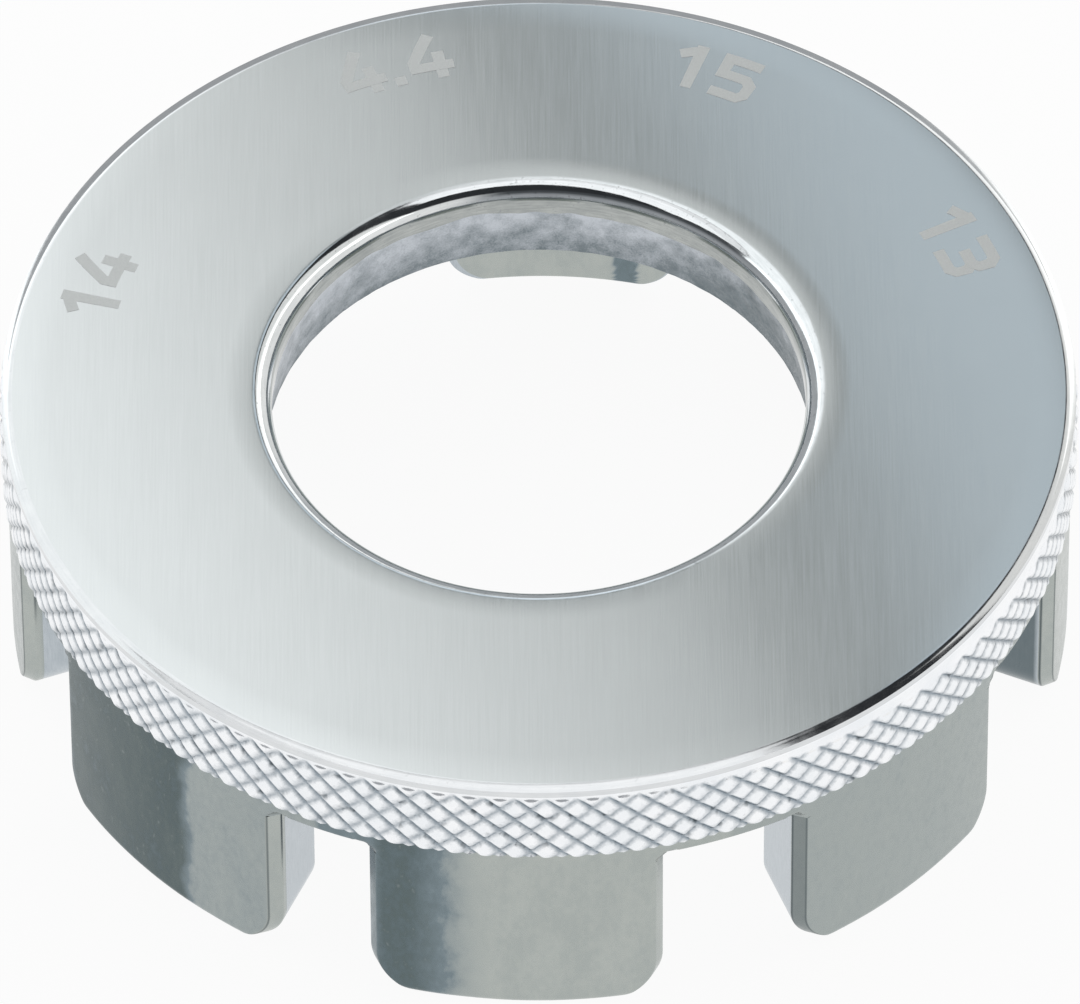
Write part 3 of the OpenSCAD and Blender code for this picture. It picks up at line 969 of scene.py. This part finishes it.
def makeJaw(number, s):
    # The outline of a level runs along the outer arc, over a bevel, in along a flank, back along the
    # inner arc, and out along the other flank. Towards the tip the flanks draw in by a large quarter
    # round and the two arcs by a small one.
    bottom = wrench["tipHeight"]
    top = wrench["jawTop"]
    turn = np.linspace(0, math.pi / 2, s["cornerLevels"])
    straight = np.linspace(bottom + s["corner"], top, s["wallLevels"])
    z = np.concatenate([bottom + s["corner"] * (1 - np.cos(turn)), straight[1:]])
    drawIn = quarterRise(z - bottom, s["corner"])
    outR = wrench["jawOutRadius"] - quarterRise(z - bottom, s["tipRound"])
    inR = wrench["jawInRadius"] + quarterRise(z - bottom, s["tipRound"] / 2)
    e = s["edgeRound"]
    steps = s["blendSteps"]
    outerA, middleA, innerA = jawSide(number - 1, 1, outR, inR, drawIn, wrench["jawBevel"])
    outerB, middleB, innerB = jawSide(number, -1, outR, inR, drawIn, wrench["jawBevel"])
    outerArc = arcBetween(outerA, outerB, outR, s["outerSteps"], e)
    innerArc = arcBetween(innerB, innerA, inR, s["innerSteps"], e)
    beginB = towards(outerB, middleB, e)
    flankB = (towards(middleB, innerB, e), towards(innerB, middleB, e))
    flankA = (towards(innerA, middleA, e), towards(middleA, innerA, e))
    endA = towards(outerA, middleA, e)
    # Each stretch of the outline, and how dark its painted edge shade is at its start, middle and end
    unshaded = (0, 0, 0)
    faint, dark = s["bevelShade"]
    bevelShade = s["shadedBevels"].get(number, 0)
    stretches = [
        ("outer", outerArc, unshaded),
        ("bevelB", softCorner(outerArc[:, -1], outerB, beginB, steps)[:, 1:], (faint, dark, 0)),
        ("bevelEndB", softCorner(towards(middleB, outerB, e), middleB, flankB[0], steps), (0, 1, 0)),
        ("flankB", between(*flankB, s["flankSteps"]), unshaded),
        ("flankB", softCorner(flankB[1], innerB, innerArc[:, 0], steps), unshaded),
        ("inner", innerArc[:, 1:-1], unshaded),
        ("flankA", softCorner(innerArc[:, -1], innerA, flankA[0], steps), unshaded),
        ("flankA", between(*flankA, s["flankSteps"]), unshaded),
        ("bevelA", softCorner(flankA[1], middleA, towards(middleA, outerA, e), steps), (0, 1, bevelShade)),
        ("bevelA", softCorner(endA, outerA, outerArc[:, 0], steps)[:, :-1], (bevelShade, dark, 0)),
    ]
    outline = np.concatenate([points for _, points, _ in stretches], 1)
    part = np.repeat([name for name, _, _ in stretches], [points.shape[1] for _, points, _ in stretches])
    lined = number not in s["unshadedBevelJaws"]
    ends, full = s["bevelShadeEnd"]
    darkness = []
    for name, points, shade in stretches:
        line = lined * np.interp(np.linspace(0, 2, points.shape[1]), (0, 1, 2), shade)
        fade = smoothStep((z - top + ends) / (ends - full)) if name == "bevelEndB" else np.ones(len(z))
        darkness.append(fade[:, None] * line[None])
    # The forged skin is a little uneven: the outside sinks by up to the unevenness, but stays where it
    # meets the plate
    radius = np.linalg.norm(outline, axis=2)
    angle = np.arctan2(outline[..., 1], outline[..., 0])
    height = np.repeat(z[:, None], outline.shape[1], 1)
    uneven = 0.5 - 0.5 * ringNoise(angle, height, wrench["jawOutRadius"], s["unevenGrain"], s["seed"])
    onOuter = radius > outR[:, None] - s["outerReach"]
    sink = s["unevenness"] * uneven * np.clip((top - height) / s["unevenFade"], 0, 1)
    radius = radius - sink * onOuter
    rows, columns = height.shape
    faces = gridFaces(rows, columns, False, True).tolist()
    faces.append(list(range(columns))[::-1])
    faces.append(list(range((rows - 1) * columns, rows * columns)))
    isWall = np.isin(part, ("flankA", "flankB"))
    slotOfFace = np.concatenate([np.tile(isWall, rows - 1), [False, False]])
    # The painted dark reflection leaves out the second bevel and the inside
    outside = radius > wrench["jawInRadius"] + mm
    paintedDark = paintedReflectionShare(angle, height, paintedReflectionSettings) * outside * ~np.isin(part, ("bevelB", "bevelEndB"))
    # A patch of painted shade on the inside of some jaws
    if number in s["innerShadePatches"]:
        direction, halfWidth = np.radians(s["innerShadePatches"][number])
        inside = radius < wrench["jawInRadius"] + s["patchReach"]
        patch = smoothStep((1 - np.abs(angle - direction) / halfWidth) / s["patchSoftness"])
        paintedDark = paintedDark + s["patchStrength"] * inside * patch
    shades = {
        "paintedDark": paintedDark,
        "edgeLine": np.concatenate(darkness, 1),
        # A painted shadow on the first flank of the jaws listed
        "paintedFlankShadow": np.tile(s["shadowedFlanks"].get(number, 0) * (part == "flankA"), (rows, 1)),
    }
    makePiece(f"jaw_{number}_forged", ringPoints(radius, angle, height), faces, [platedSkin, slotWall],
              slotOfFace, s["sharpAngle"], [f"jaw_{number}"], shades)


for jawNumber in range(1, slotCount + 1):
    makeJaw(jawNumber, jawSettings)

# Camera and light, laid out as the photograph sees the wrench: x to the right, y away, z up

photo = {
    "width": 1080,
    "height": 1004,
    "elevation": 47.67,
    "azimuth": -20.8,
    "distance": 31.96,                  # crest radii from the centre of the face
    "pixelsPerRadius": 540.51,
    "faceCentre": (539.44, 385.14),     # pixel where the centre of the face lies
    "roll": 0.344,
    "sensorWidth": 36,
    "clip": (0.01, 10),
}
azimuth = math.radians(photo["azimuth"])
elevation = math.radians(photo["elevation"])
right = np.array([math.cos(azimuth), math.sin(azimuth), 0])
away = np.array([-math.sin(azimuth), math.cos(azimuth), 0])
upright = np.array([0, 0, 1])


def makeCamera():
    # The lens length follows from how many pixels a crest radius spans at the camera's distance
    back = -away * math.cos(elevation) + upright * math.sin(elevation)
    up = np.cross(back, right)
    target = np.array([0, 0, wrench["topHeight"]])
    place = target + back * photo["distance"] * wrench["crestRadius"]
    focal = photo["pixelsPerRadius"] * photo["distance"]
    # Tilts the view so that the face's centre lands on its pixel, then rolls it
    tilt = (photo["height"] / 2 - photo["faceCentre"][1]) / focal
    pan = (photo["width"] / 2 - photo["faceCentre"][0]) / focal
    back = back + up * tilt - right * pan
    back = back / np.linalg.norm(back)
    side = np.cross(up, back)
    side = side / np.linalg.norm(side)
    up = np.cross(back, side)
    roll = math.radians(photo["roll"])
    rolledSide = side * math.cos(roll) - up * math.sin(roll)
    rolledUp = side * math.sin(roll) + up * math.cos(roll)
    data = bpy.data.cameras.new("photoCamera")
    data.sensor_width = photo["sensorWidth"]
    data.lens = focal * photo["sensorWidth"] / photo["width"]
    data.clip_start, data.clip_end = photo["clip"]
    camera = addObject("photoCamera", data)
    matrix = np.eye(4)
    matrix[:3] = np.stack([rolledSide, rolledUp, back, place], 1)
    camera.matrix_world = Matrix(matrix.tolist())
    bpy.context.scene.camera = camera


makeCamera()

floorSettings = {
    "size": 3.0,
    "drop": 0.02 * mm,                  # below the jaws' tips
    "colour": (0.95, 0.95, 0.95),
    "roughness": 0.8,
    "whiteShare": 0.94,                 # how much of what the camera and metal see there is plain white
}


def whenSeen(tree):
    # 1 for a ray that comes from the camera or from a mirror-like surface, and 0 for any other
    path = addNode(tree, "LightPath", {})
    inputs = {0: path.outputs["Is Camera Ray"], 1: path.outputs["Is Glossy Ray"]}
    return addNode(tree, "Math", inputs, operation="MAXIMUM").outputs[0]


def makeFloor(s):
    # A square just under the jaws' tips. The camera and the metal see it mostly as plain white, and
    # the rest of it takes the wrench's shadow.
    size = s["size"]
    height = cadBox[0].z - s["drop"]
    corners = [(-size, -size, height), (size, -size, height), (size, size, height), (-size, size, height)]
    mesh = bpy.data.meshes.new("floor")
    mesh.from_pydata(corners, [], [(0, 1, 2, 3)])
    floor = addObject("floor", mesh)
    material = bpy.data.materials.new("paleFloor")
    material.use_nodes = True
    tree = material.node_tree
    shader = tree.nodes["Principled BSDF"]
    shader.inputs["Base Color"].default_value = (*s["colour"], 1)
    shader.inputs["Roughness"].default_value = s["roughness"]
    glow = addNode(tree, "Emission", {})
    share = multiply(tree, whenSeen(tree), s["whiteShare"])
    mix = addNode(tree, "MixShader", {0: share, 1: shader.outputs[0], 2: glow.outputs[0]})
    tree.links.new(mix.outputs[0], tree.nodes["Material Output"].inputs["Surface"])
    mesh.materials.append(material)


makeFloor(floorSettings)

# Light panels lie flat above the face, along the wrench's own X and Y. Their places are in
# millimetres from the middle of the face. They overlap, each a little above the one before it, and
# their light adds up.
panelHeight = 200
panels = [
    {"name": "backPanel", "x": (-330, 104), "y": (96, 330), "radiance": 0.3, "colour": (0.95, 1, 0.98)},
    {"name": "leftPanelA", "x": (-330, 68), "y": (96, 330), "radiance": 0.41, "colour": (1, 1, 1)},
    {"name": "leftPanelB", "x": (-330, 58), "y": (96, 330), "radiance": 0.1, "colour": (1, 1, 1)},
    {"name": "leftPanelC", "x": (-330, 53), "y": (96, 330), "radiance": 0.12, "colour": (0.97, 0.99, 1)},
    {"name": "leftPanelD", "x": (-330, 47), "y": (96, 330), "radiance": 0.1, "colour": (0.97, 0.99, 1)},
    {"name": "leftPanelE", "x": (-330, 42), "y": (96, 330), "radiance": 0.12, "colour": (0.97, 0.99, 1)},
    {"name": "rightPanelA", "x": (79, 104), "y": (96, 330), "radiance": 0.29, "colour": (0.72, 0.86, 1)},
    {"name": "rightPanelB", "x": (85, 104), "y": (96, 330), "radiance": 0.12, "colour": (0.7, 0.86, 1)},
    {"name": "topPanel", "x": (-210, 66), "y": (-44, 55), "radiance": 1.17, "colour": (1, 1, 1)},
    {"name": "bridgePanel", "x": (-210, 62), "y": (55, 96), "radiance": 0.95, "colour": (1, 1, 1)},
    {"name": "eastPanel", "x": (130, 330), "y": (-250, 330), "radiance": 0.85, "colour": (1, 0.99, 0.96)},
]


def makePanel(name, x, y, height, radiance, colour):
    # A lamp's power is its radiance times its area times pi
    width = (x[1] - x[0]) * mm
    depth = (y[1] - y[0]) * mm
    data = bpy.data.lights.new(name, "AREA")
    data.shape = "RECTANGLE"
    data.size = width
    data.size_y = depth
    data.energy = radiance * math.pi * width * depth
    data.color = colour
    lamp = addObject(name, data)
    lamp.location = ((x[0] + x[1]) / 2 * mm, (y[0] + y[1]) / 2 * mm, wrench["topHeight"] + height * mm)
    lamp.visible_camera = False


for order, panel in enumerate(panels):
    makePanel(height=panelHeight + order, **panel)

worldSettings = {
    "wall": (0.42, 0.43, 0.44),         # the walls round the table
    "brightWall": (0.94, 0.93, 0.91),   # the one to the right
    "brightFrom": (0.25, 0.6),          # where it begins, as the cosine of the angle from the right
    "ceiling": (0.03, 0.032, 0.035),    # dark above and between the panels
    "dimSide": (0.07, 0.075, 0.08),     # the open side of the booth
    "dimFoot": (0.34, 0.35, 0.365),     # and what stands low there
    "dimFootEnd": (0.25, 0.5),          # heights, as the sine of the elevation, between which that ends
    "wallEnd": (0.6, 0.68),             # and those between which the walls end
    "dimDirection": 236,                # degrees in the photograph's directions, from its right
    "dimWidth": (60, 46),               # degrees to each side at which the dim side ends and begins
}


def makeWorld(s):
    # Walls up to a height and a dark ceiling, with a bright and a dim side, but white for the camera
    world = bpy.data.worlds.new("studioWorld")
    bpy.context.scene.world = world
    world.use_nodes = True
    tree = world.node_tree
    direction = addNode(tree, "TexCoord", {}).outputs["Generated"]
    height = addNode(tree, "SeparateXYZ", {0: direction}).outputs[2]
    level = addNode(tree, "VectorMath", {0: direction, 1: (1, 1, 0)}, operation="MULTIPLY").outputs[0]
    level = addNode(tree, "VectorMath", {0: level}, operation="NORMALIZE").outputs[0]
    turn = math.radians(s["dimDirection"] + photo["azimuth"])
    ends = [math.cos(math.radians(width)) for width in s["dimWidth"]]
    dimShare = remap(tree, cosineTo(tree, level, (math.cos(turn), math.sin(turn), 0)), *ends)
    brightShare = remap(tree, cosineTo(tree, level, tuple(right)), *s["brightFrom"])
    dimWall = blend(tree, remap(tree, height, *s["dimFootEnd"]), s["dimFoot"], s["dimSide"])
    wall = blend(tree, dimShare, blend(tree, brightShare, s["wall"], s["brightWall"]), dimWall)
    room = blend(tree, remap(tree, height, *s["wallEnd"]), wall, s["ceiling"])
    seen = addNode(tree, "LightPath", {}).outputs["Is Camera Ray"]
    tree.links.new(blend(tree, seen, room, (1.0, 1.0, 1.0)), tree.nodes["Background"].inputs["Color"])


makeWorld(worldSettings)
print("camera and light made")

scene = bpy.context.scene
scene.view_settings.view_transform = "Standard"
